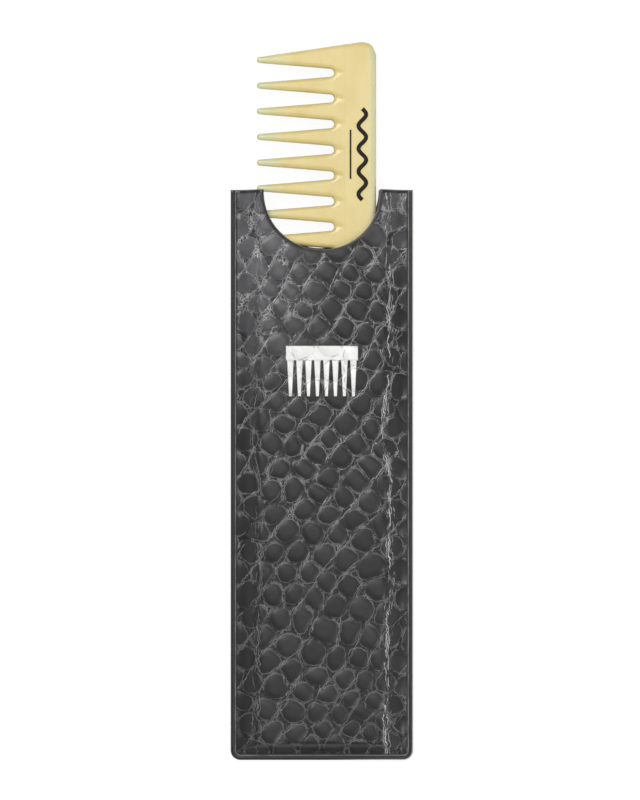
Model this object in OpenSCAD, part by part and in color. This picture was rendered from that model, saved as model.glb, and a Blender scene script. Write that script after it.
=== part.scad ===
// Wide-tooth comb in an embossed pocket sleeve, lying on the sleeve's back.
// The origin is the centre of the sleeve's back face. +Y points to the mouth, +Z out of the front.

/* [Comb] */
// Number of teeth
tooth_count = 20; // [10:1:24]
// Distance from one tooth to the next
tooth_pitch = 8; // [7:0.5:10]
// Length of a tooth, from its tip to the root of the gap
tooth_length = 24.1; // [18:0.1:30]
// How far past the gap roots the comb starts to thin towards the tips
taper_run = 3.3; // [1:0.1:5]
// Width of a tooth at its tip
tip_width = 1.95; // [1:0.05:2.4]
// Width of a gap at its root
root_gap = 2.6; // [2:0.1:3.6]
// Width of the solid spine behind the teeth
spine_width = 13.1; // [10:0.1:18]
// Distance from the comb's end to the first gap
end_margin = 9.5; // [7:0.1:12]
// Thickness of the spine
comb_thickness = 4; // [3:0.1:6]
// Thickness of a tooth at its tip
tip_thickness = 1.8; // [1.2:0.1:3]
// Radius of the spine's outer corners
corner_r = 4; // [2:0.5:6]
// Length of the flat part of each end, next to its corner
end_flat = 1; // [0.5:0.1:4]
// Radius that rounds the comb's outer edges
edge_r = 1.4; // [0.6:0.1:1.5]
// How far the ends fall back from the spine to the tips
end_fall = 4.5; // [2:0.1:5]

/* [Sleeve] */
// Thickness of an embossed cover
cover_t = 0.9; // [0.6:0.1:1.5]
// Thickness of a lining
lining_t = 0.4; // [0.2:0.1:0.8]
// Width of the welded rim
rim_width = 2.2; // [1.5:0.1:4]
// Width of the slope from the rim up to the flat front
side_slope = 8; // [5:0.5:9]
// Length of the slope at the closed end
end_slope = 4; // [3:0.5:8]
// Radius of the two corners at the closed end
sleeve_corner_r = 3; // [1:0.5:6]
// Radius of the thumb notch
notch_r = 18.1; // [12:0.1:20]
// How far the thumb notch's centre sits below the mouth
notch_down = 0.7; // [0:0.1:4]
// How far the back cover's notch sits to the left of the front one's
back_notch_left = 0.4; // [0:0.1:2]
// How far the back cover's notch sits above the front one's
back_notch_up = 0.6; // [0:0.1:2]

/* [Fit] */
// Gap between the comb and each lining
face_clearance = 0.3; // [0.2:0.05:0.8]
// Room in the pocket beside the tooth tips
tip_room = 6; // [5.5:0.1:12]
// Room in the pocket beside the comb's back
back_room = 9.4; // [8:0.1:14]
// Room in the pocket past the stowed comb's end
end_room = 5.2; // [5:0.1:12]
// How deep the stowed comb sits below the mouth
stow_depth = 7.6; // [2:0.1:12]
// How far the comb is pulled out of its stowed place
pulled_out = 53.5; // [0:0.5:100]

/* [Marks] */
// Width of the foil comb mark
emblem_width = 22.4; // [12:0.2:26]
// Number of teeth of the foil comb mark
emblem_teeth = 8; // [4:1:12]
// Distance from the mouth to the middle of the foil comb mark
emblem_drop = 56.6; // [40:0.2:90]
// Thickness of the foil
foil_t = 0.1; // [0.05:0.05:0.2]
// Length of the printed wave on the spine
wave_length = 28.4; // [14:0.2:34]
// Distance from the comb's end to the printed wave
wave_drop = 20.8; // [12:0.2:40]
// Width of the printed wave's stroke
wave_stroke = 1.3; // [0.6:0.1:2]
// Thickness of the ink
ink_t = 0.08; // [0.05:0.01:0.12]

/* [Hidden] */
$fn = 64;
curve_steps = 12;
arc_steps = 8;
over = 1;
trim_share = 0.24; // of a slope, the share under the covers that the linings leave bare
mark_root = 0.72; // widths of the foil mark's teeth, as shares of their pitch
mark_tip = 0.32;
wave_cycles = 4;
wave_points = 72;

comb_width = tooth_length + spine_width;
comb_length = 2 * end_margin + (tooth_count - 2) * tooth_pitch;
root_r = root_gap / 2;
root_u = tooth_length - root_r;
gap_half_tip = (tooth_pitch - tip_width) / 2;
tip_r = tip_width / 2;
first_gap = comb_length / 2 - end_margin;
shoulder_u = comb_width - corner_r - end_flat;

sleeve_width = comb_width + tip_room + back_room + 2 * rim_width;
sleeve_length = rim_width + end_room + comb_length + stow_depth;
floor_z = cover_t + lining_t;
comb_z = floor_z + face_clearance + comb_thickness / 2;
pocket_top = floor_z + comb_thickness + 2 * face_clearance;
sleeve_height = pocket_top + lining_t + cover_t;
lining_trim = rim_width + trim_share * min(side_slope, end_slope * 2);

tip_x = rim_width + tip_room - sleeve_width / 2;
comb_end = sleeve_length / 2 - stow_depth + pulled_out;
comb_y = comb_end - comb_length / 2;

emblem_y = sleeve_length / 2 - emblem_drop;
emblem_bar = emblem_width / 5;
emblem_tooth = emblem_width / 2;
emblem_pitch = emblem_width / emblem_teeth;
emblem_root = mark_root * emblem_pitch / 2;
emblem_tip = mark_tip * emblem_pitch / 2;
emblem_top = (emblem_tooth - emblem_bar) / 2;

wave_u = tooth_length + spine_width * 0.67;
wave_height = spine_width / 11;
rule_u = tooth_length + spine_width * 0.37;
rule_width = wave_stroke * 0.4;
rule_length = wave_length * 0.54;

// Half the width of a gap at a distance u from the tips.
function gap_half(u) = gap_half_tip - (gap_half_tip - root_r) * u / root_u;

// An S-shaped rise from [a, low] to [b, high].
function rise(a, b, low, high) = [
    for (i = [0:curve_steps])
        let (t = i / curve_steps)
        [a + (b - a) * t, low + (high - low) * (1 - cos(180 * t)) / 2]
];

// A rounded end at a, curving from half-height h to the middle, towards +direction.
function bullnose(a, h, direction) = [
    for (i = [0:curve_steps])
        let (t = 90 * i / curve_steps)
        [a - direction * edge_r * (1 - sin(t)), h - edge_r * (1 - cos(t))]
];

// Points along an arc about [u, v], from one angle to another.
function arc(u, v, r, from, to) = [
    for (i = [0:arc_steps])
        let (a = from + (to - from) * i / arc_steps)
        [u + r * cos(a), v + r * sin(a)]
];

// The points of a list in reverse order, with the second coordinate negated.
function below(points) = [for (i = [len(points) - 1:-1:0]) [points[i][0], -points[i][1]]];

// ---- Comb ----

// The comb's outline: tips at u = 0, the back at u = comb_width, the ends at v = +-comb_length / 2.
module comb_outline() {
    half = comb_length / 2;
    corner_u = comb_width - corner_r;
    inner_end = first_gap + gap_half(0);
    end_tip_r = (half - end_fall - inner_end) / 2;
    end_tip_v = inner_end + end_tip_r;
    teeth_and_gaps = [
        for (i = [0:tooth_count - 2])
            let (gap_v = first_gap - i * tooth_pitch)
            let (next_v = gap_v - tooth_pitch / 2)
            concat(
                arc(root_u, gap_v, root_r, 90, -90),
                i < tooth_count - 2 ? arc(tip_r, next_v, tip_r, 90, 270) : []
            )
    ];
    polygon(concat(
        arc(corner_u, half - corner_r, corner_r, 0, 90),
        [[shoulder_u, half]],
        arc(end_tip_r, end_tip_v, end_tip_r, 90, 270),
        [for (points = teeth_and_gaps) for (p = points) p],
        arc(end_tip_r, -end_tip_v, end_tip_r, 90, 270),
        [[shoulder_u, -half]],
        arc(corner_u, corner_r - half, corner_r, -90, 0)
    ));
}

// The comb's thickness seen from its end: full at the spine, thinner towards the tips.
module thickness_block() {
    half = comb_thickness / 2;
    tip_half = tip_thickness / 2;
    upper = concat(
        [[0, tip_half / 2], [tip_half / 2, tip_half], [tooth_length + taper_run, half]],
        bullnose(comb_width, half, 1)
    );
    rotate([90, 0, 0])
        translate([0, 0, -comb_length / 2 - over])
            linear_extrude(comb_length + 2 * over)
                polygon(concat(upper, below(upper)));
}

// The comb's thickness seen from its back edge, with both ends rounded.
module end_rounding_block() {
    half = comb_thickness / 2;
    start = [for (p = bullnose(comb_length / 2, half, 1)) [-p[0], p[1]]];
    rounded = [for (i = [curve_steps:-1:0]) start[i]];
    upper = concat(rounded, bullnose(comb_length / 2, half, 1));
    rotate([90, 0, 90])
        translate([0, 0, -over])
            linear_extrude(comb_width + 2 * over)
                polygon(concat(upper, below(upper)));
}

module comb() {
    color("#e5d596")
        translate([tip_x, comb_y, comb_z])
            intersection() {
                translate([0, 0, -comb_thickness])
                    linear_extrude(2 * comb_thickness) comb_outline();
                thickness_block();
                end_rounding_block();
            }
}

// A printed wave and a short plain rule beside it, along the spine.
module spine_print() {
    points = [
        for (i = [0:wave_points])
            let (a = 360 * wave_cycles * i / wave_points)
            let (steep = 2 * PI * wave_cycles * wave_height * cos(a) / wave_length)
            let (slant = sqrt(1 + steep * steep))
            [wave_u + wave_height * sin(a), -wave_length * i / wave_points, 1 / slant, steep / slant]
    ];
    left = [for (p = points) [p[0] - p[2] * wave_stroke / 2, p[1] - p[3] * wave_stroke / 2]];
    right = [for (p = points) [p[0] + p[2] * wave_stroke / 2, p[1] + p[3] * wave_stroke / 2]];
    turned_back = [for (i = [wave_points:-1:0]) right[i]];
    color("#2b2620")
        translate([tip_x, comb_end - wave_drop, comb_z + comb_thickness / 2])
            linear_extrude(ink_t) {
                polygon(concat(left, turned_back));
                translate([rule_u, -(wave_length + rule_length) / 2])
                    square([rule_width, rule_length]);
            }
}

// ---- Sleeve ----

// The sleeve's outline, drawn in by a margin, with its closed end rounded.
module sleeve_outline(margin) {
    half = sleeve_width / 2 - margin;
    bottom = margin - sleeve_length / 2;
    r = max(sleeve_corner_r - margin, 0.5);
    translate([-half, bottom + r])
        square([2 * half, sleeve_length / 2 - bottom - r]);
    translate([r - half, bottom])
        square([2 * (half - r), r]);
    for (side = [-1, 1])
        translate([side * (half - r), bottom + r])
            circle(r = r);
}

// The thumb notch's cylinder, moved left and up from its place in the front cover.
module notch(left, up) {
    translate([-left, sleeve_length / 2 - notch_down + up, -over])
        cylinder(h = sleeve_height + 2 * over, r = notch_r);
}

// Everything below an arched surface: low at the rim, high over the comb.
module arch_block(low, high) {
    half_x = sleeve_width / 2;
    half_y = sleeve_length / 2;
    left = rise(rim_width - half_x, rim_width + side_slope - half_x, low, high);
    right = rise(half_x - rim_width - side_slope, half_x - rim_width, high, low);
    closed_end = rise(rim_width - half_y, rim_width + end_slope - half_y, low, high);
    across = concat(
        [[-half_x - over, -over], [-half_x - over, low]],
        left,
        right,
        [[half_x + over, low], [half_x + over, -over]]
    );
    along = concat(
        [[-half_y - over, -over], [-half_y - over, low]],
        closed_end,
        [[half_y + over, high], [half_y + over, -over]]
    );
    intersection() {
        rotate([90, 0, 0])
            translate([0, 0, -half_y - over])
                linear_extrude(2 * (half_y + over)) polygon(across);
        rotate([90, 0, 90])
            translate([0, 0, -half_x - over])
                linear_extrude(2 * (half_x + over)) polygon(along);
    }
}

module front_cover() {
    color("#3a3736")
        difference() {
            intersection() {
                linear_extrude(sleeve_height + over) sleeve_outline(0);
                arch_block(2 * cover_t, sleeve_height);
            }
            arch_block(cover_t, sleeve_height - cover_t);
            notch(0, 0);
        }
}

module front_lining() {
    color("#8b8681")
        difference() {
            intersection() {
                linear_extrude(sleeve_height) sleeve_outline(lining_trim);
                arch_block(cover_t, sleeve_height - cover_t);
            }
            arch_block(cover_t - lining_t, pocket_top);
            translate([-sleeve_width, -sleeve_length, -over])
                cube([2 * sleeve_width, 2 * sleeve_length, floor_z + over]);
            notch(0, 0);
        }
}

module back_cover() {
    color("#383534")
        difference() {
            linear_extrude(cover_t) sleeve_outline(0);
            notch(back_notch_left, back_notch_up);
        }
}

module back_lining() {
    color("#8b8681")
        difference() {
            translate([0, 0, cover_t])
                linear_extrude(lining_t) sleeve_outline(lining_trim);
            notch(back_notch_left, back_notch_up);
        }
}

// A plain comb mark: a bar with tapering teeth below it.
module foil_emblem() {
    color("#e9e9e6")
        translate([0, emblem_y, sleeve_height])
            linear_extrude(foil_t) {
                translate([-emblem_width / 2, emblem_top])
                    square([emblem_width, emblem_bar]);
                for (i = [0:emblem_teeth - 1])
                    translate([(i + 0.5) * emblem_pitch - emblem_width / 2, emblem_top])
                        polygon([
                            [-emblem_root, 0],
                            [-emblem_tip, -emblem_tooth],
                            [emblem_tip, -emblem_tooth],
                            [emblem_root, 0]
                        ]);
            }
}

comb();
spine_print();
front_cover();
front_lining();
back_cover();
back_lining();
foil_emblem();
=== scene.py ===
import math
import bmesh
import bpy
import numpy as np
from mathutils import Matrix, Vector


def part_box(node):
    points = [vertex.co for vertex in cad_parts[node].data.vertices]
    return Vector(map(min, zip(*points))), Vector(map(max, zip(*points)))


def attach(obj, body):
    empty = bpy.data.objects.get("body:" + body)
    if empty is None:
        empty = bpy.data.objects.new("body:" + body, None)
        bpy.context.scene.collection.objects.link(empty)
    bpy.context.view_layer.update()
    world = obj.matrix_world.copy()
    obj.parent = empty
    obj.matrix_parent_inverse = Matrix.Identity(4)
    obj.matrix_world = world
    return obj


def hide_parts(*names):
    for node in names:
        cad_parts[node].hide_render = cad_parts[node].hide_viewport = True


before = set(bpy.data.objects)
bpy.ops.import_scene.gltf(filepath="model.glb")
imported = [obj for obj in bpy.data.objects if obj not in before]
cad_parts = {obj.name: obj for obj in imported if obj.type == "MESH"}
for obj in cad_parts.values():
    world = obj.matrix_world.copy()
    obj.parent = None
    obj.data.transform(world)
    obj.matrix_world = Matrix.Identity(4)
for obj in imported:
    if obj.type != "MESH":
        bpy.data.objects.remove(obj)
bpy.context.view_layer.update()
mm = 0.001
print("frame loaded:", len(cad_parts), "nodes")

# Corners of the CAD nodes, in millimetres
coverLow, coverHigh = (np.array(c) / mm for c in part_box("front_cover"))
backHigh = np.array(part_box("back_cover")[1]) / mm
liningHigh = np.array(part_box("front_lining")[1]) / mm
combLow, combHigh = (np.array(c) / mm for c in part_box("comb"))
foilLow, foilHigh = (np.array(c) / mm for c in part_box("foil_emblem"))
halfWide = coverHigh[0]
mouthY, endY = coverHigh[1], coverLow[1]


# Camera, straight above the object, with the image's long side along Y
view = {
    "lens": 220.0, "sensor": 36.0,
    "seenLong": 249.2,          # the length that fills the image's long side
    "aboutHeight": 5.0,         # at this height over the floor
    "centre": (-0.6, 23.4),
}

cameraData = bpy.data.cameras.new("camera")
cameraData.lens = view["lens"]
cameraData.sensor_width = view["sensor"]
camera = bpy.data.objects.new("camera", cameraData)
bpy.context.collection.objects.link(camera)
distance = view["seenLong"] * view["lens"] / view["sensor"] + view["aboutHeight"]
camera.location = Vector((view["centre"][0], view["centre"][1], distance)) * mm
bpy.context.scene.camera = camera
print("camera placed")


# Small helpers for fields over the plane

def smooth(t):
    t = np.clip(t, 0, 1)
    return t * t * (3 - 2 * t)  # an S from 0 to 1


def softNoise(x, y, size, seed):
    # random values from -1 to 1 on a square lattice, blended with an S-curve between lattice points
    count, startU, startV = 97, 31.7, 47.3
    table = np.random.default_rng(seed).uniform(-1, 1, (count, count))
    u, v = x / size + startU, y / size + startV
    i, j = np.floor(u).astype(int), np.floor(v).astype(int)
    a, b = smooth(u - i), smooth(v - j)
    at = lambda p, q: table[p % count, q % count]
    low = at(i, j) * (1 - a) + at(i + 1, j) * a
    high = at(i, j + 1) * (1 - a) + at(i + 1, j + 1) * a
    return low * (1 - b) + high * b


def softMin(a, b, k):
    # the smaller of two fields, with the corner between them rounded over a width k
    h = np.clip(0.5 + 0.5 * (b - a) / k, 0, 1)
    return b * (1 - h) + a * h - k * h * (1 - h)


# The pebbled relief of the leatherette
pebbles = {
    "lean": math.radians(52),           # the rows of scales climb to the right at this angle
    "across": 6.5, "along": 7.4,        # from row to row, and from scale to scale along a row
    "wander": (3.6, 26.0, 1.5, 10.0),   # how far the rows stray and over what length, twice
    "jitter": 0.75,                     # how far a scale strays from its place
    "warp": (0.55, 5.0, 0.14, 1.9),     # how far the grooves stray and over what length, twice
    "rows": 18, "margin": 12,           # rows either way from the middle, kept this far past the panel
    "settle": 14, "neighbours": 7,
    "height": 0.42,                     # of a dome above its groove
    "heightShare": (0.8, 0.35),         # the lowest dome's share of it, and the highest's extra
    "crown": 0.85,                      # less is flatter on top
    "gap": 0.3,                         # half the gap between two scales
    "furrow": (0.07, 0.5),              # depth in the gap, and over what width
    "shoulder": 1.9,                    # width over which a dome rises
    "roundness": 1.3,                   # how round a scale's corners are, less is rounder
    "pressed": 0.6,                     # how deep the pressed bands lie, as a share of the height
}


def rowDrift(x, y, seed):
    # two sizes of soft noise, each times its reach
    far, farSize, near, nearSize = pebbles["wander"]
    return far * softNoise(x, y, farSize, seed) + near * softNoise(x, y, nearSize, seed + 1)


def rowNumber(x, y, seed):
    # distance across the leaning rows over the row spacing, so the valleys are its whole numbers
    p = pebbles
    across = x * np.sin(p["lean"]) - y * np.cos(p["lean"])
    return (across + rowDrift(x, y, seed + 40)) / p["across"]


def pebbleSeeds(seed):
    # scales stand halfway between two valleys, every second row shifted by half; each place is found
    # by undoing the drift a few times over
    p, random = pebbles, np.random.default_rng(seed)
    steps = np.arange(-p["rows"], p["rows"] + 1)
    row, spot = np.meshgrid(steps, steps, indexing="ij")
    across = (row + 0.5) * p["across"]
    along = (spot + 0.5 * (row % 2)) * p["along"] + random.uniform(-1, 1, row.shape) * p["jitter"]
    x, y = np.zeros(row.shape), np.zeros(row.shape)
    for _ in range(p["settle"]):
        a, b = across - rowDrift(x, y, seed + 40), along - rowDrift(x, y, seed + 50)
        x = a * np.sin(p["lean"]) + b * np.cos(p["lean"])
        y = b * np.sin(p["lean"]) - a * np.cos(p["lean"])
    seeds = np.stack([x.ravel(), y.ravel()], 1) + random.uniform(-1, 1, (x.size, 2)) * p["jitter"]
    reach = np.array([halfWide, mouthY]) + p["margin"]
    return seeds[(np.abs(seeds) < reach).all(1)]


def pebbleField(x, y, seeds, seed):
    # distance to each bisector between the nearest seed and its neighbours, joined by a soft minimum
    p, batch = pebbles, 6000
    far, farSize, fine, fineSize = p["warp"]
    px = x + far * softNoise(x, y, farSize, seed + 1) + fine * softNoise(x, y, fineSize, seed + 2)
    py = y + far * softNoise(x, y, farSize, seed + 3) + fine * softNoise(x, y, fineSize, seed + 4)
    edge, owner = np.empty(px.size), np.empty(px.size, int)
    points = np.stack([px.ravel(), py.ravel()], 1)
    for start in range(0, len(points), batch):
        part = slice(start, start + batch)
        apart = ((points[part, None, :] - seeds[None]) ** 2).sum(2)
        order = np.argpartition(apart, p["neighbours"], axis=1)[:, :p["neighbours"] + 1]
        near = np.take_along_axis(apart, order, 1)
        rank = near.argsort(1)
        order, near = np.take_along_axis(order, rank, 1), np.take_along_axis(near, rank, 1)
        between = np.linalg.norm(seeds[order[:, 1:]] - seeds[order[:, :1]], axis=2)
        bisector = (near[:, 1:] - near[:, :1]) / (2 * between)
        edge[part] = -np.log(np.exp(-p["roundness"] * bisector).sum(1)) / p["roundness"]
        owner[part] = order[:, 0]
    tone = np.random.default_rng(seed + 9).uniform(0, 1, len(seeds))
    return edge.reshape(x.shape), tone[owner].reshape(x.shape)


# The sleeve's panels
sleeve = {
    "rim": 2.2, "sideSlope": 8.0, "endSlope": 4.0,      # the welded rim and the slopes up from it
    "slopeBlend": 0.12,                                 # how softly the slopes meet
    "cornerRound": 3.0, "notchRadius": 18.1,
    "notch": (0.0, -0.7), "backNotch": (-0.4, -0.1),    # their centres, from the middle of the mouth
    "weldAt": 1.5, "weldDepth": 0.3, "weldWidth": 0.3,
    "rimRelief": 0.12, "rimFade": 1.1,                  # share of the relief on the rim, and its fade
    "mouthRelief": 0.25, "mouthAt": 0.7,                # the same on the band along mouth and notch
    "mouthBand": 1.3,
    "valley": (0.1, 0.4), "crease": (0.14, 0.5),        # depth and half width: rows, fold
    "edgeRound": 0.4, "edgeDrop": 0.8,
    "foldAt": 20.2,                                     # from the middle to the fold down each side
    "foldWander": (1.3, 21.0, 0.5, 6.0),                # how far it strays and over what length, twice
    "plump": 0.08,                                      # how far the front swells over the comb
    "slack": 0.1, "slackSize": 24.0,                    # how far it sags unevenly, over what length
    "leastThick": 0.2,
    "columns": 120, "rows": 374,
}


def archLift(x, y, soft):
    # 0 on the rim and 1 over the comb, by a cosine S up each slope, and the lower one where they meet
    s = sleeve
    across = np.clip((halfWide - s["rim"] - np.abs(x)) / s["sideSlope"], 0, 1)
    along = np.clip((y - endY - s["rim"]) / s["endSlope"], 0, 1)
    across, along = (1 - np.cos(np.pi * across)) / 2, (1 - np.cos(np.pi * along)) / 2
    return softMin(across, along, s["slopeBlend"]) if soft else np.minimum(across, along)


def outlineGap(x, y, notch):
    # distance inwards from the sides and the closed end with its round corners, from the mouth with its
    # notch, and from the notch's circle alone
    s = sleeve
    r = s["cornerRound"]
    side, end = halfWide - np.abs(x), y - endY
    inCorner = (side < r) & (end < r)
    corner = r - np.hypot(r - side, r - end)
    rim = np.where(inCorner, corner, np.minimum(side, end))
    hole = np.hypot(x - notch[0], y - mouthY - notch[1]) - s["notchRadius"]
    return rim, np.minimum(mouthY - y, hole), hole


def gridQuads(index, turned=False):
    # the cells of a grid of point numbers; turned runs round each cell the other way
    first, second, third, fourth = index[:-1, :-1], index[1:, :-1], index[1:, 1:], index[:-1, 1:]
    corners = (first, fourth, third, second) if turned else (first, second, third, fourth)
    return np.stack(corners, -1).reshape(-1, 4)


def panelGrid(notch):
    # a grid over the panel; cells outside the outline are dropped, and the last points are pulled onto
    # its arcs
    s, slip = sleeve, 1e-9
    columns = np.linspace(-halfWide, halfWide, s["columns"] + 1)
    rows = np.linspace(endY, mouthY, s["rows"] + 1)
    x, y = np.meshgrid(columns, rows, indexing="ij")
    rim, _, hole = outlineGap(x, y, notch)
    inside = ((rim >= -slip) & (hole >= -slip)).ravel()
    quads = gridQuads(np.arange(x.size).reshape(x.shape))
    quads = quads[inside[quads].any(1)]
    x, y, hole, rim = x.ravel(), y.ravel(), hole.ravel(), rim.ravel()
    centreX, centreY = notch[0], mouthY + notch[1]
    angle = np.arctan2(y - centreY, x - centreX)
    inHole = hole < 0
    x = np.where(inHole, centreX + s["notchRadius"] * np.cos(angle), x)
    y = np.where(inHole, centreY + s["notchRadius"] * np.sin(angle), y)
    r = s["cornerRound"]
    cornerX, cornerY = np.sign(x) * (halfWide - r), endY + r
    turn = np.arctan2(y - cornerY, x - cornerX)
    past = rim < 0
    x = np.where(past, cornerX + r * np.cos(turn), x)
    y = np.where(past, cornerY + r * np.sin(turn), y)
    used, quads = np.unique(quads, return_inverse=True)
    return x[used], np.minimum(y[used], mouthY), quads.reshape(-1, 4)


def closedPanel(name, x, y, quads, top, bottom):
    # the grid twice, at the two heights, with a wall of quads along every edge that only one cell uses
    count = len(x)
    edges = np.concatenate([quads[:, [k, (k + 1) % 4]] for k in range(4)])
    code, back = edges[:, 0] * count + edges[:, 1], edges[:, 1] * count + edges[:, 0]
    rimEdges = edges[~np.isin(code, back)]
    walls = np.concatenate([rimEdges[:, ::-1], rimEdges + count], 1)
    points = np.concatenate([np.stack([x, y, top], 1), np.stack([x, y, bottom], 1)]) * mm
    faces = np.concatenate([quads, quads[:, ::-1] + count, walls])
    return meshPiece(name, points, faces)


def meshPiece(name, points, faces, join=0.0):
    mesh = bpy.data.meshes.new(name)
    mesh.from_pydata(points.tolist(), [], faces.tolist())
    if join:
        work = bmesh.new()
        work.from_mesh(mesh)
        bmesh.ops.remove_doubles(work, verts=work.verts, dist=join)
        bmesh.ops.dissolve_degenerate(work, edges=work.edges, dist=join / 10)
        bmesh.ops.recalc_face_normals(work, faces=work.faces)
        work.to_mesh(mesh)
        work.free()
    mesh.validate()
    mesh.polygons.foreach_set("use_smooth", np.ones(len(mesh.polygons), bool))
    piece = bpy.data.objects.new(name, mesh)
    bpy.context.collection.objects.link(piece)
    return piece


def addField(piece, name, values):
    field = piece.data.attributes.new(name, "FLOAT", "POINT")
    field.data.foreach_set("value", np.asarray(values, np.float32))


def reliefHeight(edge, tone, keep):
    # a dome that rises by a quarter sine over its shoulder, and a shallow furrow in the gap, both faded
    # by keep
    p = pebbles
    lowest, more = p["heightShare"]
    depth, width = p["furrow"]
    t = np.clip((edge - p["gap"]) / p["shoulder"], 0, 1)
    dome = p["height"] * np.sin(t * np.pi / 2) ** p["crown"] * (lowest + more * tone)
    furrow = -depth * smooth((p["gap"] - edge) / width)
    return (dome + furrow - p["height"]) * keep - (1 - keep) * p["height"] * p["pressed"]


def foldGap(x, y, seed):
    # signed distance from a long fold that wanders down each side, where the panel bends to its rim
    far, farSize, near, nearSize = sleeve["foldWander"]
    wander = far * softNoise(x * 0, y, farSize, seed) + near * softNoise(x * 0, y, nearSize, seed + 1)
    return np.abs(x) - sleeve["foldAt"] + wander * np.sign(x)


fieldNames = ("scaleEdge", "scaleTone", "rimGap", "mouthGap", "rowNumber", "foldGap")


def coverFields(x, y, notch, seed):
    edge, tone = pebbleField(x, y, pebbleSeeds(seed), seed)
    rim, mouth, _ = outlineGap(x, y, notch)
    return edge, tone, rim, mouth, rowNumber(x, y, seed), foldGap(x, y, seed + 20)


def addFields(piece, fields):
    # the same values on the outside and the inside of a closed panel
    for name, values in zip(fieldNames, fields):
        addField(piece, name, np.concatenate([values, values]))


def dip(distance, shape):
    # a bell of that depth and half width
    depth, width = shape
    return depth * np.exp(-((distance / width) ** 2))


def coverHeight(edge, tone, rim, mouth, row, fold):
    # the relief, flattened on the rim and the mouth band, with the weld line, valleys, folds and rounded
    # edges taken off
    s = sleeve
    onRim = s["rimRelief"] + (1 - s["rimRelief"]) * smooth((rim - s["weldAt"]) / s["rimFade"])
    atMouth = smooth((mouth - s["mouthAt"]) / s["mouthBand"])
    keep = onRim * (s["mouthRelief"] + (1 - s["mouthRelief"]) * atMouth)
    weld = dip(rim - s["weldAt"], (s["weldDepth"], s["weldWidth"]))
    valley = dip((row - np.round(row)) * pebbles["across"], s["valley"]) * keep
    crease = dip(fold, s["crease"]) * keep
    near = np.clip(np.minimum(rim, mouth), 0, s["edgeRound"])
    turned = s["edgeRound"] - np.sqrt(s["edgeRound"] ** 2 - (s["edgeRound"] - near) ** 2)
    return reliefHeight(edge, tone, keep) - weld - valley - crease - turned * s["edgeDrop"]


def frontTop(x, y):
    # from the rim up the arch to the panel's top, plus the relief, the slack and the swelling
    s = sleeve
    rimTop = backHigh[2] * 2
    fields = coverFields(x, y, s["notch"], 3)
    lift = archLift(x, y, True)
    slack = s["slack"] * softNoise(x, y, s["slackSize"], 61) * lift
    arch = rimTop + (coverHigh[2] - rimTop) * lift
    return arch + coverHeight(*fields) + slack + s["plump"] * lift, fields


def makeFrontCover():
    x, y, quads = panelGrid(sleeve["notch"])
    top, fields = frontTop(x, y)
    under = backHigh[2] + (liningHigh[2] - backHigh[2]) * archLift(x, y, False)
    top = np.maximum(top, under + sleeve["leastThick"])
    piece = closedPanel("frontCover", x, y, quads, top, under)
    addFields(piece, fields)
    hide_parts("front_cover")
    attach(piece, "sleeve")
    return piece


def makeBackCover():
    notch = sleeve["backNotch"]
    x, y, quads = panelGrid(notch)
    fields = coverFields(x, y, notch, 12)
    outside = np.minimum(-coverHeight(*fields), backHigh[2] - sleeve["leastThick"])
    piece = closedPanel("backCover", x, y, quads, np.full(len(x), backHigh[2]), outside)
    addFields(piece, fields)
    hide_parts("back_cover")
    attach(piece, "sleeve")
    return piece


# The foil mark, pressed onto the relief
foil = {
    "bar": 0.2, "tooth": 0.5, "teeth": 8,       # the bar's height and the teeth's length over the width
    "rootHalf": 0.36, "tipHalf": 0.16,          # half a tooth's width over the pitch
    "proud": 0.03, "thick": 0.05,
    "barCells": (72, 14), "toothCells": (7, 36),
}


def foilPatch(left, right, leftEnd, rightEnd, top, bottom, count):
    # a four-sided patch: straight lines between the two sides, from the top to the bottom
    a, b = np.meshgrid(*(np.linspace(0, 1, n + 1) for n in count), indexing="ij")
    startX, endX = left + (right - left) * a, leftEnd + (rightEnd - leftEnd) * a
    quads = gridQuads(np.arange(a.size).reshape(a.shape), turned=True)
    return (startX + (endX - startX) * b).ravel(), (top + (bottom - top) * b).ravel(), quads


def makeFoilMark():
    f = foil
    width = foilHigh[0] - foilLow[0]
    pitch, bar, tooth = width / f["teeth"], f["bar"] * width, f["tooth"] * width
    barLow = foilHigh[1] - bar
    sides = (foilLow[0], foilHigh[0])
    patches = [foilPatch(*sides, *sides, foilHigh[1], barLow, f["barCells"])]
    for i in range(f["teeth"]):
        middle = foilLow[0] + (i + 0.5) * pitch
        root, tip = pitch * f["rootHalf"], pitch * f["tipHalf"]
        patches.append(foilPatch(
            middle - root, middle + root, middle - tip, middle + tip,
            barLow, barLow - tooth, f["toothCells"]
        ))
    first = np.cumsum([0] + [len(p[0]) for p in patches[:-1]])
    x, y = (np.concatenate([p[k] for p in patches]) for k in (0, 1))
    quads = np.concatenate([p[2] + n for p, n in zip(patches, first)])
    top, fields = frontTop(x, y)
    piece = closedPanel("foilMark", x, y, quads, top + f["proud"] + f["thick"], top + f["proud"])
    addFields(piece, fields)
    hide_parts("foil_emblem")
    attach(piece, "sleeve")
    return piece


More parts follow.
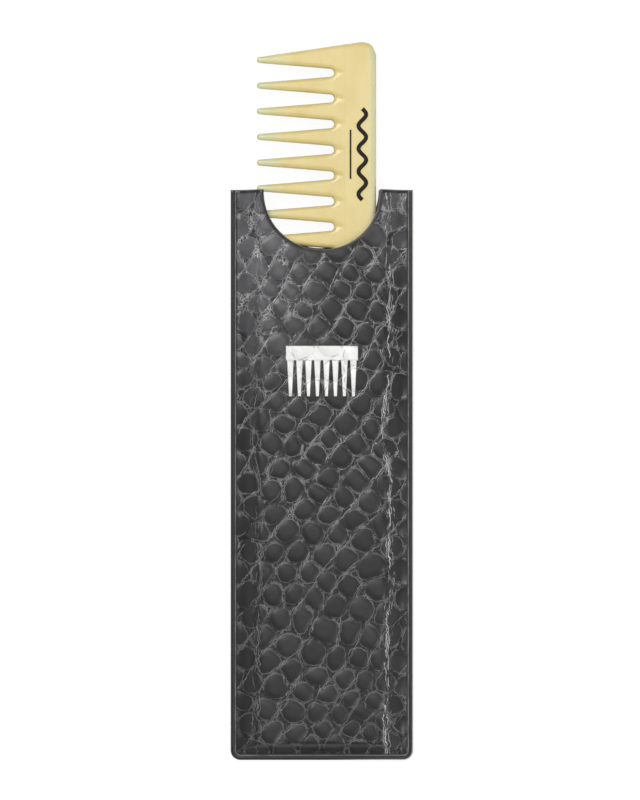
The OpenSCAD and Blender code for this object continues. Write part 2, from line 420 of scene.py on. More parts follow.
# The comb
comb = {
    "toothLength": 24.1, "pitch": 8.0, "tipWidth": 1.95, "rootGap": 2.6,
    "endMargin": 9.5, "cornerRound": 4.0,
    "shoulder": 5.0,                        # the flat of each end, measured from the back
    "tipThickness": 1.8,
    "tipFill": (0.55, 1.3),                 # share of the thickness at a tip, and where it is full
    "taperAt": 27.4,                        # from the tips to where the comb starts to thin
    "edgeRound": 1.5,                       # how far in from its outline the comb is rounded
    "rounding": (0.9, 0.35, 12.0, 14.0),    # share rounded off, how much less at the back, from, over
    "scoopLong": 1.9, "scoopEnd": 1.2,      # the hollow at each gap's root: its length, its round end,
    "scoopWide": 1.5, "scoopDepth": 0.13,   # half its width, and its depth over the thickness
    "scoopFade": (3.0, 4.0),                # starts this far before the root, over this length
    "tumbled": 0.025,                       # low unevenness left by polishing
    "tumbledSizes": (7.0, 3.1), "flatBack": 2.0,
    "leastHalf": 0.12,
    "acrossSteps": 16, "tipSteps": 6, "edgeSteps": 30, "archSteps": (14, 5), "lateSteps": 4.0,
    "join": 2e-6,                           # in metres
}
combWide, combLong, combThick = combHigh - combLow
combMiddle = (combLow + combHigh) / 2
gapCount = int(round((combLong - 2 * comb["endMargin"]) / comb["pitch"])) + 1
firstGap = combLong / 2 - comb["endMargin"]
tipRound = comb["tipWidth"] / 2
rootRound = comb["rootGap"] / 2
rootAt = comb["toothLength"] - rootRound


def halfCell():
    # one side of a gap, seen from the gap's middle line: its edge from the tooth's tip to the root, and
    # the line it faces, which is the tooth's middle line and then the back; both have as many points
    c, half = comb, comb["pitch"] / 2
    turn = np.linspace(np.pi, np.pi / 2, c["tipSteps"] + 1)
    tip = np.stack([tipRound + tipRound * np.cos(turn), half - tipRound * np.sin(turn)], 1)
    t = np.linspace(0, 1, c["edgeSteps"] + 1)[1:, None]
    edge = tip[-1] + (np.array([rootAt, rootRound]) - tip[-1]) * t
    turn = np.linspace(np.pi / 2, 0, sum(c["archSteps"]) + 1)[1:]
    root = np.stack([rootAt + rootRound * np.cos(turn), rootRound * np.sin(turn)], 1)
    inner = np.concatenate([tip, edge, root])
    along = np.concatenate([tip[:, 0], edge[:, 0]])
    facing = np.stack([along, np.full(len(along), half)], 1)
    upright = np.linspace(rootAt, combWide, c["archSteps"][0] + 1)[1:]
    backSide = np.linspace(half, 0, c["archSteps"][1] + 1)[1:]
    outer = np.concatenate([
        facing, np.stack([upright, np.full(len(upright), half)], 1),
        np.stack([np.full(len(backSide), combWide), backSide], 1)
    ])
    return inner, outer


def endStrip():
    # from the end tooth's middle line out to the end's edge: tip, sloping edge, flat shoulder and round
    # corner
    c, half = comb, comb["pitch"] / 2
    line = halfCell()[1][:c["tipSteps"] + c["edgeSteps"] + 1 + c["archSteps"][0]]
    u = line[:, 0]
    end = c["endMargin"]
    shoulderAt = combWide - c["shoulder"]
    slope = half + tipRound + (end - half - tipRound) * (u - tipRound) / (shoulderAt - tipRound)
    tip = half + np.sqrt(np.clip(tipRound ** 2 - (tipRound - u) ** 2, 0, None))
    r = c["cornerRound"]
    corner = end - r + np.sqrt(np.clip(r ** 2 - (u - combWide + r) ** 2, 0, None))
    back = np.where(u < combWide - r, end, corner)
    edge = np.where(u < tipRound, tip, np.where(u < shoulderAt, slope, back))
    return line, np.stack([u, edge], 1)


def combOutline():
    # the whole outline as one closed run of points, for measuring the distance to the edge
    inner = halfCell()[0]
    full = np.concatenate([inner, inner[-2::-1] * [1, -1]])
    gaps = [full + [0, firstGap - i * comb["pitch"]] for i in range(gapCount)]
    top = endStrip()[1][::-1] + [0, firstGap]
    return np.concatenate([top] + gaps + [top[::-1] * [1, -1]])


def edgeDistance(u, v, outline):
    # distance to the nearest straight piece of the outline
    batch = 4000
    best = np.empty(u.size)
    ends = np.roll(outline, -1, 0)
    run = ends - outline
    length = np.maximum((run ** 2).sum(1), 1e-12)
    points = np.stack([u.ravel(), v.ravel()], 1)
    for start in range(0, len(points), batch):
        part = slice(start, start + batch)
        off = points[part, None, :] - outline[None]
        t = np.clip((off * run).sum(2) / length, 0, 1)
        best[part] = np.sqrt(((off - run * t[..., None]) ** 2).sum(2).min(1))
    return best.reshape(u.shape)


def combHalfThickness(u, v, edge):
    # full at the spine and thinner to the tips, rounded by a quarter ellipse towards every edge,
    # hollowed at the roots
    c = comb
    spine, tip = combThick / 2, c["tipThickness"] / 2
    tipShare, fullAt = c["tipFill"]
    body = tip + (spine - tip) * np.clip(u / c["taperAt"], 0, 1)
    body = body * (tipShare + (1 - tipShare) * np.sqrt(1 - (1 - np.clip(u / fullAt, 0, 1)) ** 2))
    halfTooth = tipRound + (c["pitch"] / 2 - rootRound - tipRound) * np.clip(u / rootAt, 0, 1)
    near = np.clip(edge / np.minimum(c["edgeRound"], halfTooth * 1.02), 0, 1)
    most, less, lessFrom, lessOver = c["rounding"]
    share = most - less * smooth((u - lessFrom) / lessOver)
    rounded = 1 - share + share * np.sqrt(1 - (1 - near) ** 2)
    step = np.clip(np.round((firstGap - v) / c["pitch"]), 0, gapCount - 1)
    aside = v - (firstGap - step * c["pitch"])
    ahead = np.maximum(u - c["toothLength"] - c["scoopLong"], 0)
    hollow = np.hypot(ahead / c["scoopEnd"], aside / c["scoopWide"])
    before, over = c["scoopFade"]
    depth = c["scoopDepth"] * (1 - smooth(hollow)) * smooth((u - rootAt + before) / over)
    wide, narrow = (softNoise(u, v, size, seed) for size, seed in zip(c["tumbledSizes"], (5, 6)))
    uneven = c["tumbled"] * (wide + 0.5 * narrow) * (u < combWide - c["flatBack"])
    return np.maximum(body * rounded * (1 - depth) + np.minimum(uneven, 0), c["leastHalf"])


def stitched(inner, outer, late):
    # straight lines from the inner to the outer run; late moves the points from dense at the edge to
    # dense at both ends
    t = np.linspace(0, 1, comb["acrossSteps"] + 1)[None]
    oneEnd, bothEnds = 1 - np.cos(t * np.pi / 2), 0.5 - 0.5 * np.cos(t * np.pi)
    share = oneEnd * (1 - late[:, None]) + bothEnds * late[:, None]
    return inner[:, None] + (outer - inner)[:, None] * share[..., None]


def makeComb():
    c = comb
    inner, outer = halfCell()
    toothCount = c["tipSteps"] + c["edgeSteps"] + 1
    late = smooth((np.arange(len(inner)) - toothCount) / c["lateSteps"])
    upper = stitched(inner, outer, late)
    cell = np.concatenate([upper, upper[-2::-1] * [1, -1]])
    blocks = [cell + [0, firstGap - i * c["pitch"]] for i in range(gapCount)]
    line, edge = endStrip()
    strip = stitched(edge, line, np.zeros(len(line)))
    blocks += [strip[::-1] + [0, firstGap], strip * [1, -1] - [0, firstGap]]
    outline = combOutline()
    onEdge = 1e-6
    points, faces, first = [], [], 0
    for block in blocks:
        u, v = block[..., 0], block[..., 1]
        gap = edgeDistance(u, v, outline)
        half = combHalfThickness(u, v, gap)
        index = np.arange(u.size).reshape(u.shape) + first
        quads = gridQuads(index, turned=True)
        faces += [quads, quads[:, ::-1] + u.size]
        rim = gap.ravel() < onEdge
        for run in (index[:, 0], index[:, -1], index[0], index[-1]):
            on = rim[run - first]
            wall = np.stack([run[:-1], run[1:], run[1:] + u.size, run[:-1] + u.size], 1)
            faces.append(wall[on[:-1] & on[1:]])
        for side in (1, -1):
            points.append(np.stack([u, v, side * half], -1).reshape(-1, 3))
        first += 2 * u.size
    points = np.concatenate(points) + [combLow[0], combMiddle[1], combMiddle[2]]
    return meshPiece("combBody", points * mm, np.concatenate(faces), join=c["join"])


def finishComb(piece):
    # fields for the material: how far from the tips a point is, and how close to an edge
    co = np.empty(len(piece.data.vertices) * 3, np.float32)
    piece.data.vertices.foreach_get("co", co)
    co = co.reshape(-1, 3) / mm
    u, v = co[:, 0] - combLow[0], co[:, 1] - combMiddle[1]
    addField(piece, "fromTip", u)
    addField(piece, "edgeGap", edgeDistance(u, v, combOutline()))
    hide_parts("comb")
    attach(piece, "comb_body")


frontCover = makeFrontCover()
print("front cover:", len(frontCover.data.polygons), "faces")
backCover = makeBackCover()
print("back cover:", len(backCover.data.polygons), "faces")
foilMark = makeFoilMark()
print("foil mark:", len(foilMark.data.polygons), "faces")
combBody = makeComb()
finishComb(combBody)
print("comb:", len(combBody.data.polygons), "faces")


# Materials: short helpers for nodes, then the shared effects as groups

def node(tree, kind, inputs=(), **settings):
    # a new node; an input is linked when it is another node's output, and set when it is a value
    made = tree.nodes.new(kind)
    for key, value in settings.items():
        setattr(made, key, value)
    for socket, value in dict(inputs).items():
        if isinstance(value, bpy.types.NodeSocket):
            tree.links.new(value, made.inputs[socket])
        else:
            made.inputs[socket].default_value = value
    return made


def calc(tree, operation, a, b=0.0, clamp=False):
    return node(tree, "ShaderNodeMath", {0: a, 1: b}, operation=operation, use_clamp=clamp).outputs[0]


def times(tree, a, b):
    return calc(tree, "MULTIPLY", a, b)


def plus(tree, a, b):
    return calc(tree, "ADD", a, b)


def minus(tree, a, b):
    return calc(tree, "SUBTRACT", a, b)


def span(tree, value, low, high, outLow=0.0, outHigh=1.0):
    made = node(tree, "ShaderNodeMapRange", {0: value, 1: low, 2: high, 3: outLow, 4: outHigh})
    made.interpolation_type = "SMOOTHSTEP"
    return made.outputs[0]


def blendColour(tree, share, a, b):
    made = tree.nodes.new("ShaderNodeMix")
    made.data_type = "RGBA"
    for socket, value in ((made.inputs[0], share), (made.inputs[6], a), (made.inputs[7], b)):
        if isinstance(value, bpy.types.NodeSocket):
            tree.links.new(value, socket)
        else:
            socket.default_value = value
    return made.outputs[2]


def field(tree, name):
    return node(tree, "ShaderNodeAttribute", attribute_name=name).outputs["Fac"]


def place(tree):
    return node(tree, "ShaderNodeTexCoord").outputs["Object"]


def noise(tree, where, scale, detail=3.0, rough=0.5):
    settings = {"Vector": where, "Scale": scale, "Detail": detail, "Roughness": rough}
    return node(tree, "ShaderNodeTexNoise", settings).outputs[0]


def bumpFrom(tree, height, strength, distance):
    settings = {"Strength": strength, "Distance": distance, "Height": height}
    return node(tree, "ShaderNodeBump", settings).outputs[0]


def newGroup(name, inputs, outputs):
    tree = bpy.data.node_groups.new(name, "ShaderNodeTree")
    kind = "NodeSocketFloat"
    for socketName, value in inputs.items():
        socket = tree.interface.new_socket(name=socketName, in_out="INPUT", socket_type=kind)
        socket.default_value = value
    for socketName in outputs:
        tree.interface.new_socket(name=socketName, in_out="OUTPUT", socket_type=kind)
    given, out = tree.nodes.new("NodeGroupInput"), tree.nodes.new("NodeGroupOutput")
    return tree, given.outputs, out.inputs


def useGroup(tree, group, inputs):
    return node(tree, "ShaderNodeGroup", inputs, node_tree=group).outputs


def colour(red, green, blue):
    # a colour written as screen values from 0 to 255, by the sRGB curve
    shares = [c / 255 for c in (red, green, blue)]
    linear = [((c + 0.055) / 1.055) ** 2.4 if c > 0.04 else c / 12.92 for c in shares]
    return (*linear, 1.0)


def makeLineGroup():
    # 1 on the line where a value meets a level, falling to 0 over a width
    inputs = {"Value": 0, "Level": 0, "Width": 0.2, "Blur": 0.15}
    tree, given, out = newGroup("thinLine", inputs, ["Line"])
    away = calc(tree, "ABSOLUTE", minus(tree, given["Value"], given["Level"]))
    outer = plus(tree, given["Width"], given["Blur"])
    made = node(tree, "ShaderNodeMapRange", {0: away, 1: given["Width"], 2: outer, 3: 1.0, 4: 0.0})
    made.interpolation_type = "SMOOTHSTEP"
    tree.links.new(made.outputs[0], out["Line"])
    return tree


wrinkle = {"shakeScale": 420.0, "shakeReach": 0.003, "patchScale": 160.0, "patches": (0.42, 0.6)}


def makeWrinkleGroup():
    # ridges between the cells of a warped cell pattern, broken up by noise
    inputs = {"Scale": 900, "Warp": 0.6, "Sharpness": 0.09}
    tree, given, out = newGroup("fineWrinkles", inputs, ["Mask"])
    where = place(tree)
    settings = {"Vector": where, "Scale": wrinkle["shakeScale"], "Detail": 2.0}
    shake = node(tree, "ShaderNodeTexNoise", settings).outputs[1]
    centred = {0: shake, 1: (0.5, 0.5, 0.5)}
    moved = node(tree, "ShaderNodeVectorMath", centred, operation="SUBTRACT").outputs[0]
    reach = times(tree, given["Warp"], wrinkle["shakeReach"])
    amount = node(tree, "ShaderNodeVectorMath", {0: moved, "Scale": reach}, operation="SCALE")
    both = {0: where, 1: amount.outputs[0]}
    shifted = node(tree, "ShaderNodeVectorMath", both, operation="ADD").outputs[0]
    settings = {"Vector": shifted, "Scale": given["Scale"]}
    cells = node(tree, "ShaderNodeTexVoronoi", settings, feature="DISTANCE_TO_EDGE")
    ends = {0: cells.outputs["Distance"], 1: 0.0, 2: given["Sharpness"], 3: 1.0, 4: 0.0}
    ridges = node(tree, "ShaderNodeMapRange", ends).outputs[0]
    broken = span(tree, noise(tree, where, wrinkle["patchScale"]), *wrinkle["patches"])
    tree.links.new(times(tree, ridges, broken), out["Mask"])
    return tree


lineGroup = makeLineGroup()
wrinkleGroup = makeWrinkleGroup()


def newMaterial(name):
    material = bpy.data.materials.new(name)
    material.use_nodes = True
    return material, material.node_tree, material.node_tree.nodes["Principled BSDF"]


def setSockets(shader, values):
    for key, value in values.items():
        shader.inputs[key].default_value = value


def linkSockets(tree, shader, values):
    for key, value in values.items():
        tree.links.new(value, shader.inputs[key])


leatherette = {
    # the furrow colour is painted shade in the gaps between the scales
    "scale": colour(32, 32, 33), "scaleLight": colour(54, 53, 54), "furrow": colour(24, 24, 24),
    # the weld colour paints a pale highlight on the weld groove, and a pale line along the mouth's edge
    "ring": colour(116, 115, 116), "line": colour(204, 203, 204), "weld": colour(122, 121, 121),
    "rim": colour(38, 37, 37), "paintedSheen": colour(116, 115, 118), "roughness": (0.34, 0.5),
    "grain": 0.00008, "grainScale": 4200.0, "blotchScale": 150.0,
    # where it shines more, with lower roughness and a sheen painted into the colour, in metres: from, to
    "cornerShine": {"lengthways": (0.01, 0.07), "sideways": (0.006, -0.02)},
    "hornShine": {"lengthways": (0.052, 0.08), "aside": (0.012, 0.02), "share": 0.55},
    # how noise moves the lines: its scale, and how far in millimetres
    "edgeShake": (800.0, 0.9), "rowShakes": ((650.0, 1.5), (210.0, 1.6)),
    "columnShake": (38.0, 2.4), "uprightShake": (720.0, 1.6),
    "foldShakes": ((300.0, 2.2), (900.0, 0.9)),
    # pale lines: place in millimetres, scale of the noise that breaks them up, strength
    "secondLine": (-0.33, 330.0, 0.5),
    "valleyLines": ((0.0, 105.0, 0.7), (0.45, 190.0, 0.45)),
    "columnLines": ((0.0, 260.0, 1.0), (0.5, 310.0, 1.0), (-0.6, 370.0, 1.0)), "columnShare": 0.6,
    "foldLines": ((0.0, 120.0, 1.0), (0.55, 150.0, 0.8), (-0.6, 200.0, 0.7), (1.2, 250.0, 0.5)),
    "foldWidth": 0.06, "foldReach": (2.6, 0.3),
    "leftFold": 0.3,                        # the left fold's share of the right one's lines; the lines are a painted highlight along the bend, strongest on the right
    "farEnd": 0.42,                         # the lines' share at the closed end
    "gapBlur": 0.15,
    "fine": {"Scale": 620.0, "Warp": 0.9, "Sharpness": 0.05},
    # painted glints: specks of the pale line colour where it shines
    "glints": {"Scale": 950.0, "Warp": 0.6, "Sharpness": 0.16},
    # share of the fine wrinkles in the gaps, beside the folds and in the shining corner, and in all
    "fineInGap": 0.5, "fineAtFold": 0.4, "fineInShine": 0.6, "fineShare": 0.55,
}


def shaken(tree, value, where, scale, reach):
    # a value moved about by noise
    return plus(tree, value, times(tree, minus(tree, noise(tree, where, scale), 0.5), reach))


def brokenLine(tree, value, where, line, width=0.02):
    # a thin line at a level, present only where noise is high
    level, scale, strength = line
    inputs = {"Value": value, "Level": level, "Width": width, "Blur": 0.13}
    present = span(tree, noise(tree, where, scale, 2.0), 0.46, 0.6, 0.0, strength)
    return times(tree, useGroup(tree, lineGroup, inputs)["Line"], present)


def brightest(tree, values):
    made = values[0]
    for value in values[1:]:
        made = calc(tree, "MAXIMUM", made, value)
    return made


def fromWhole(tree, value, size):
    # signed distance from the nearest whole number, times a size
    return times(tree, minus(tree, value, calc(tree, "ROUND", value)), size)


def leatherShine(tree, sideways, lengthways):
    # towards the upper left corner, and both that and the horns beside the notch; they lower the
    # roughness and paint a sheen into the colour
    corner, horn = leatherette["cornerShine"], leatherette["hornShine"]
    upperLeft = times(
        tree, span(tree, lengthways, *corner["lengthways"]), span(tree, sideways, *corner["sideways"])
    )
    aside = span(tree, calc(tree, "ABSOLUTE", sideways), *horn["aside"])
    horns = times(tree, span(tree, lengthways, *horn["lengthways"]), aside)
    return upperLeft, calc(tree, "MAXIMUM", upperLeft, times(tree, horns, horn["share"]))


def leatherLines(tree, where, edge, between):
    # pale lines in the valleys, in the upright columns of gaps, and a second one beside each ring
    look = leatherette
    sideways = node(tree, "ShaderNodeSeparateXYZ", {0: where}).outputs[0]
    far = fromWhole(tree, field(tree, "rowNumber"), pebbles["across"])
    for shake in look["rowShakes"]:
        far = shaken(tree, far, where, *shake)
    lines = [brokenLine(tree, far, where, line) for line in look["valleyLines"]]
    columns = times(tree, sideways, 1 / mm / pebbles["along"])
    columns = shaken(tree, columns, where, *look["columnShake"])
    upright = shaken(tree, fromWhole(tree, columns, pebbles["along"]), where, *look["uprightShake"])
    upright = brightest(tree, [brokenLine(tree, upright, where, line) for line in look["columnLines"]])
    lines.append(times(tree, upright, times(tree, between, look["columnShare"])))
    offset, scale, strength = look["secondLine"]
    lines.append(brokenLine(tree, edge, where, (pebbles["gap"] + offset, scale, strength)))
    return lines


def leatherFolds(tree, where, sideways):
    # the bundle of pale crease lines down each side, painted as a highlight along the bend and stronger
    # on the right, and how near a point is to it
    look, fold = leatherette, field(tree, "foldGap")
    onRight = span(tree, sideways, -0.012, 0.012, look["leftFold"], 1.0)
    moved = fold
    for shake in look["foldShakes"]:
        moved = shaken(tree, moved, where, *shake)
    folds = [brokenLine(tree, moved, where, line, look["foldWidth"]) for line in look["foldLines"]]
    near = span(tree, calc(tree, "ABSOLUTE", fold), *look["foldReach"])
    return times(tree, brightest(tree, folds), onRight), times(tree, near, onRight)


def makeLeatherette():
    look = leatherette
    material, tree, shader = newMaterial("embossedLeatherette")
    where = place(tree)
    sideways, lengthways, _ = node(tree, "ShaderNodeSeparateXYZ", {0: where}).outputs
    tone, rim, mouth = (field(tree, name) for name in ("scaleTone", "rimGap", "mouthGap"))
    upperLeft, shineAndPaintedSheen = leatherShine(tree, sideways, lengthways)

    edge = shaken(tree, field(tree, "scaleEdge"), where, *look["edgeShake"])
    gap, blur = pebbles["gap"], look["gapBlur"]
    between = span(tree, edge, gap + blur, gap - blur)
    ringLine = {"Value": edge, "Level": gap, "Width": 0.02, "Blur": 0.17}
    ring = useGroup(tree, lineGroup, ringLine)["Line"]
    ring = times(tree, ring, span(tree, noise(tree, where, 170.0), 0.4, 0.6, 0.15, 1.0))
    lines = leatherLines(tree, where, edge, between)
    folds, nearFold = leatherFolds(tree, where, sideways)

    inGap, atFold = times(tree, between, look["fineInGap"]), times(tree, nearFold, look["fineAtFold"])
    share = plus(tree, inGap, atFold)
    inShine = times(tree, upperLeft, times(tree, between, look["fineInShine"]))
    fine = useGroup(tree, wrinkleGroup, look["fine"])["Mask"]
    fine = calc(tree, "MULTIPLY", fine, plus(tree, share, inShine), clamp=True)
    # painted glints: bright specks of the pale line colour in the shining corner and on the horns
    glints = useGroup(tree, wrinkleGroup, look["glints"])["Mask"]
    glints = times(tree, glints, span(tree, noise(tree, where, 210.0), 0.5, 0.6))
    glints = times(tree, glints, times(tree, shineAndPaintedSheen, span(tree, edge, 1.5, 0.5)))

    # the rim and the mouth band stay plain, and the lines grow fainter towards the closed end
    keep = times(tree, span(tree, rim, 1.7, 2.4), span(tree, mouth, 0.8, 1.4))
    upwards = span(tree, lengthways, -0.085, 0.08, look["farEnd"], 1.0)
    bright = brightest(tree, lines + [times(tree, fine, look["fineShare"])])
    bright = brightest(tree, [times(tree, bright, upwards), folds, glints])
    bright = times(tree, bright, keep)
    ring = times(tree, ring, times(tree, keep, span(tree, upwards, look["farEnd"], 1.0, 0.7, 1.0)))
    # the weld groove's pale line is a painted highlight; the groove itself is also a bump
    weldLine = {"Value": rim, "Level": sleeve["weldAt"], "Width": 0.06, "Blur": 0.18}
    weld = useGroup(tree, lineGroup, weldLine)["Line"]
    weld = times(tree, weld, span(tree, noise(tree, where, 240.0), 0.3, 0.62, 0.35, 1.0))
    # a pale line along the rim's outer edge, faint on the left and strong on the right
    paleOuterEdge = times(tree, span(tree, rim, 0.45, 0.1), span(tree, sideways, 0.0, 0.02, 0.1, 0.9))

    blotch = noise(tree, where, look["blotchScale"], 4.0)
    base = blendColour(tree, times(tree, tone, blotch), look["scale"], look["scaleLight"])
    # a painted sheen is mixed into the colour where it shines
    layers = (
        # painted shade in the gaps between the scales
        (times(tree, shineAndPaintedSheen, blotch), "paintedSheen"), (times(tree, between, 0.8), "furrow"),
        (minus(tree, 1.0, keep), "rim"), (ring, "ring"), (bright, "line"), (weld, "weld"),
        (span(tree, mouth, 0.4, 0.1, 0.0, 0.7), "weld"), (paleOuterEdge, "line"),
    )
    for mask, name in layers:
        base = blendColour(tree, mask, base, look[name])
    rough = span(tree, noise(tree, where, 90.0, 4.0), 0.3, 0.7, *look["roughness"])
    rough = plus(tree, rough, times(tree, bright, 0.2))
    rough = minus(tree, rough, times(tree, shineAndPaintedSheen, 0.16))
    height = times(tree, noise(tree, where, look["grainScale"], 2.0), 0.1)
    height = plus(tree, height, times(tree, bright, 0.9))
    height = plus(tree, height, times(tree, ring, 0.4))
    height = minus(tree, height, times(tree, weld, 0.8))
    normal = bumpFrom(tree, height, 0.8, look["grain"])
    linkSockets(tree, shader, {"Base Color": base, "Roughness": rough, "Normal": normal})
    setSockets(shader, {"Specular IOR Level": 0.4, "Coat Weight": 0.05, "Coat Roughness": 0.25})
    return material


acetate = {
    # the tip colour is painted light shining through the thin teeth
    "body": colour(223, 206, 142), "streak": colour(217, 197, 129), "tip": colour(205, 211, 170),
    # the rim colour is painted shade along the edges and at the breaks of the slopes
    "pale": colour(213, 211, 172), "rim": colour(203, 189, 131), "roughness": (0.16, 0.26),
    "streakScale": 95.0, "streakStretch": (1.0, 0.45, 1.0), "streakTurn": (0, 0, 0.5),
    "cloudScale": 110.0, "cloudReach": 9.0,     # how the greener tips, painted as light shining through the thin teeth, drift into the teeth
    "tipFade": (11.0, 0.5, 0.0, 0.9), "edgeFade": (0.6, 0.1, 0.0, 0.6),
    "backFade": (3.0, 0.6), "backShare": 0.85,  # the painted highlight along the rounded back, measured from it
    "breakShare": 0.35,                         # the faint painted shade lines where the rounding and the taper start
    "polish": 0.00004,
}


def makeAcetate():
    look = acetate
    material, tree, shader = newMaterial("combAcetate")
    where = place(tree)
    settings = {"Vector": where, "Scale": look["streakStretch"], "Rotation": look["streakTurn"]}
    stretched = node(tree, "ShaderNodeMapping", settings).outputs[0]
    fromTip, edge = field(tree, "fromTip"), field(tree, "edgeGap")
    streaks = span(tree, noise(tree, stretched, look["streakScale"], 4.0, 0.55), 0.35, 0.7)
    base = blendColour(tree, streaks, look["body"], look["streak"])
    cloudy = minus(tree, noise(tree, where, look["cloudScale"], 3.0), 0.5)
    cloudy = times(tree, cloudy, look["cloudReach"])
    # painted light shining through the thin tips: greener and paler towards them
    paintedTipGlow = span(tree, plus(tree, fromTip, cloudy), *look["tipFade"])
    base = blendColour(tree, paintedTipGlow, base, look["tip"])
    # a painted highlight along the rounded back edge
    backFrom, backTo = (combWide - reach for reach in look["backFade"])
    backHighlight = span(tree, plus(tree, fromTip, times(tree, cloudy, 0.2)), backFrom, backTo)
    base = blendColour(tree, times(tree, backHighlight, look["backShare"]), base, look["pale"])
    # painted shade along every edge, left out where the back highlight is painted
    edgeShade = times(tree, span(tree, edge, *look["edgeFade"]), minus(tree, 1.0, backHighlight))
    base = blendColour(tree, edgeShade, base, look["rim"])
    # painted shade lines where the rounding and the taper start
    lines = []
    for value, name in ((edge, "edgeRound"), (fromTip, "taperAt")):
        inputs = {"Value": value, "Level": comb[name], "Width": 0.05, "Blur": 0.2}
        lines.append(useGroup(tree, lineGroup, inputs)["Line"])
    rounding, taper = lines
    onSpine = span(tree, fromTip, comb["taperAt"] - 0.6, comb["taperAt"])
    breakShade = calc(tree, "MAXIMUM", times(tree, rounding, onSpine), taper)
    breakShade = times(tree, breakShade, look["breakShare"])
    breakShade = times(tree, breakShade, span(tree, noise(tree, where, 90.0), 0.35, 0.6, 0.2, 1.0))
    base = blendColour(tree, breakShade, base, look["rim"])
    rough = span(tree, noise(tree, where, 260.0, 4.0), 0.3, 0.7, *look["roughness"])
    normal = bumpFrom(tree, noise(tree, where, 900.0, 3.0), 0.25, look["polish"])
    linkSockets(tree, shader, {"Base Color": base, "Roughness": rough, "Normal": normal})
    setSockets(shader, {
        "Subsurface Weight": 0.2, "Subsurface Scale": 0.0012, "Subsurface Radius": (1.0, 0.8, 0.4),
        "IOR": 1.5, "Coat Weight": 0.2,
    })
    return material


foilLook = {
    "foil": colour(238, 238, 235), "bare": colour(70, 66, 64), "roughness": 0.42,
    "wobbleScale": 700.0, "wobbleReach": 0.5, "crackScale": 420.0, "crackShare": 0.45,
    "wrinkles": {"Scale": 900.0, "Warp": 0.7, "Sharpness": 0.05}, "wrinkleShare": 0.45,
}


def makeFoil():
    look = foilLook
    material, tree, shader = newMaterial("whiteFoil")
    where = place(tree)
    edge = shaken(tree, field(tree, "scaleEdge"), where, look["wobbleScale"], look["wobbleReach"])
    crackLine = {"Value": edge, "Level": pebbles["gap"], "Width": 0.04, "Blur": 0.2}
    crack = useGroup(tree, lineGroup, crackLine)["Line"]
    crack = times(tree, crack, span(tree, noise(tree, where, look["crackScale"]), 0.4, 0.6))
    wrinkles = useGroup(tree, wrinkleGroup, look["wrinkles"])["Mask"]
    crack = calc(tree, "MAXIMUM", crack, times(tree, wrinkles, look["wrinkleShare"]))
    base = blendColour(tree, times(tree, crack, look["crackShare"]), look["foil"], look["bare"])
    normal = bumpFrom(tree, minus(tree, 1.0, crack), 0.6, 0.00005)
    linkSockets(tree, shader, {"Base Color": base, "Normal": normal})
    setSockets(shader, {"Roughness": look["roughness"], "Metallic": 0.15})
    return material


inkLook = {"ink": colour(26, 18, 12), "worn": colour(64, 52, 36), "roughness": 0.6}


def makeInk():
    look = inkLook
    material, tree, shader = newMaterial("printInk")
    worn = span(tree, noise(tree, place(tree), 1100.0, 4.0), 0.58, 0.75)
    linkSockets(tree, shader, {"Base Color": blendColour(tree, worn, look["ink"], look["worn"])})
    setSockets(shader, {"Roughness": look["roughness"], "Specular IOR Level": 0.25})
    return material


liningLook = {
    "cloth": colour(201, 196, 189), "thread": colour(168, 163, 156),
    "threads": 1500.0, "uneven": 1.2, "slubScale": 300.0,
}


def makeLining():
    # two crossing sets of threads, each a wave, with slubs from noise
    look = liningLook
    material, tree, shader = newMaterial("liningCloth")
    where = place(tree)
    settings = {"Vector": where, "Scale": look["threads"], "Distortion": look["uneven"]}
    warp, weft = (
        node(tree, "ShaderNodeTexWave", settings, bands_direction=way).outputs["Fac"] for way in "XY"
    )
    weave = times(tree, warp, weft)
    slub = noise(tree, where, look["slubScale"], 4.0)
    base = blendColour(tree, times(tree, slub, weave), look["thread"], look["cloth"])
    linkSockets(tree, shader, {"Base Color": base, "Normal": bumpFrom(tree, weave, 0.5, 0.0001)})
    setSockets(shader, {"Roughness": 0.85})
    return material


def coat(piece, material):
    piece.data.materials.clear()
    piece.data.materials.append(material)


leatheretteMaterial = makeLeatherette()
liningMaterial = makeLining()
coat(frontCover, leatheretteMaterial)
coat(backCover, leatheretteMaterial)
coat(combBody, makeAcetate())
coat(foilMark, makeFoil())
coat(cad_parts["spine_print"], makeInk())
coat(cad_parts["front_lining"], liningMaterial)
coat(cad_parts["back_lining"], liningMaterial)
print("materials made")


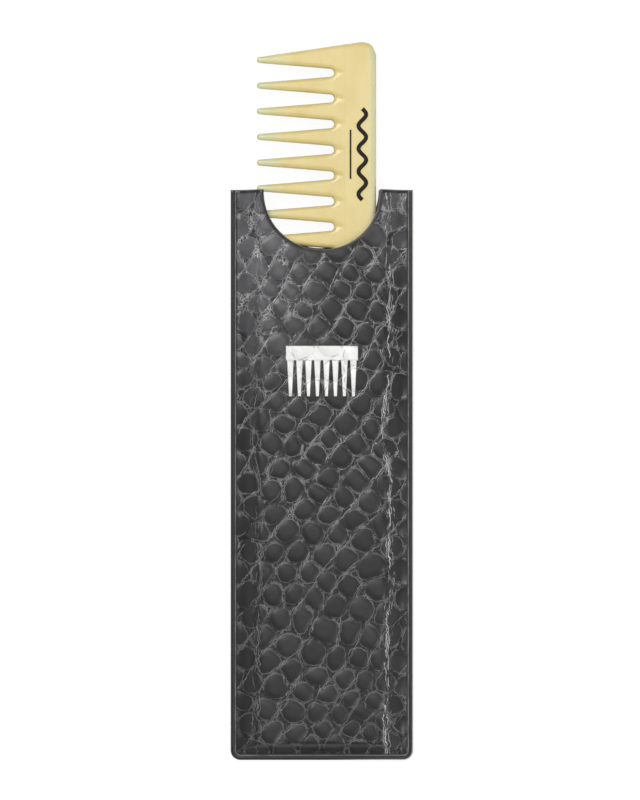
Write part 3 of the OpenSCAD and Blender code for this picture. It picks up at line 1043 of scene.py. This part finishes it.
# Studio: floor, soft lamps and an even world
studio = {
    "floorSize": 3.0, "floorGap": 0.0003, "floorGlow": 0.88, "floorBright": 1.05,
    "ambient": 0.36, "aim": (0, 0.02, 0),
    "lamps": {      # place, size, power
        "keyUpperLeft": ((-0.3, 0.42, 0.6), 0.4, 2.7),
        "lowerRight": ((0.6, -0.4, 0.6), 0.5, 3.0),
        "topSoft": ((0.0, 0.25, 1.5), 0.9, 3.4),
    },
}


def makeFloor():
    size = studio["floorSize"] / 2
    low = -studio["floorGap"]
    corners = np.array([[-size, -size, low], [size, -size, low], [size, size, low], [-size, size, low]])
    floor = meshPiece("floor", corners, np.array([[0, 1, 2, 3]]))
    material, tree, shader = newMaterial("paleFloor")
    grey = (0.8, 0.8, 0.8, 1)
    setSockets(shader, {"Base Color": grey, "Roughness": 0.9, "Specular IOR Level": 0.1})
    bright = {"Color": (1, 1, 1, 1), "Strength": studio["floorBright"]}
    glow = node(tree, "ShaderNodeEmission", bright)
    path = node(tree, "ShaderNodeLightPath")
    seen = times(tree, path.outputs["Is Camera Ray"], studio["floorGlow"])
    mix = node(tree, "ShaderNodeMixShader", {0: seen, 1: shader.outputs[0], 2: glow.outputs[0]})
    tree.links.new(mix.outputs[0], tree.nodes["Material Output"].inputs[0])
    coat(floor, material)


def makeLamps():
    aim = Vector(studio["aim"])
    for name, (spot, size, power) in studio["lamps"].items():
        lampData = bpy.data.lights.new(name, "AREA")
        lampData.shape = "DISK"
        lampData.size = size
        lampData.energy = power
        lamp = bpy.data.objects.new(name, lampData)
        bpy.context.collection.objects.link(lamp)
        lamp.location = spot
        lamp.rotation_mode = "QUATERNION"
        lamp.rotation_quaternion = (aim - Vector(spot)).to_track_quat("-Z", "Y")


def makeWorld():
    world = bpy.data.worlds.new("studio")
    world.use_nodes = True
    tree = world.node_tree
    background = tree.nodes["Background"]
    path = node(tree, "ShaderNodeLightPath")
    plain = calc(tree, "MAXIMUM", path.outputs["Is Camera Ray"], path.outputs["Is Transmission Ray"])
    ends = {0: plain, 1: 0.0, 2: 1.0, 3: studio["ambient"], 4: 1.0}
    strength = node(tree, "ShaderNodeMapRange", ends)
    background.inputs["Color"].default_value = (1, 1, 1, 1)
    tree.links.new(strength.outputs[0], background.inputs["Strength"])
    bpy.context.scene.world = world


makeFloor()
makeLamps()
makeWorld()
bpy.context.scene.view_settings.view_transform = "Standard"
print("studio made")
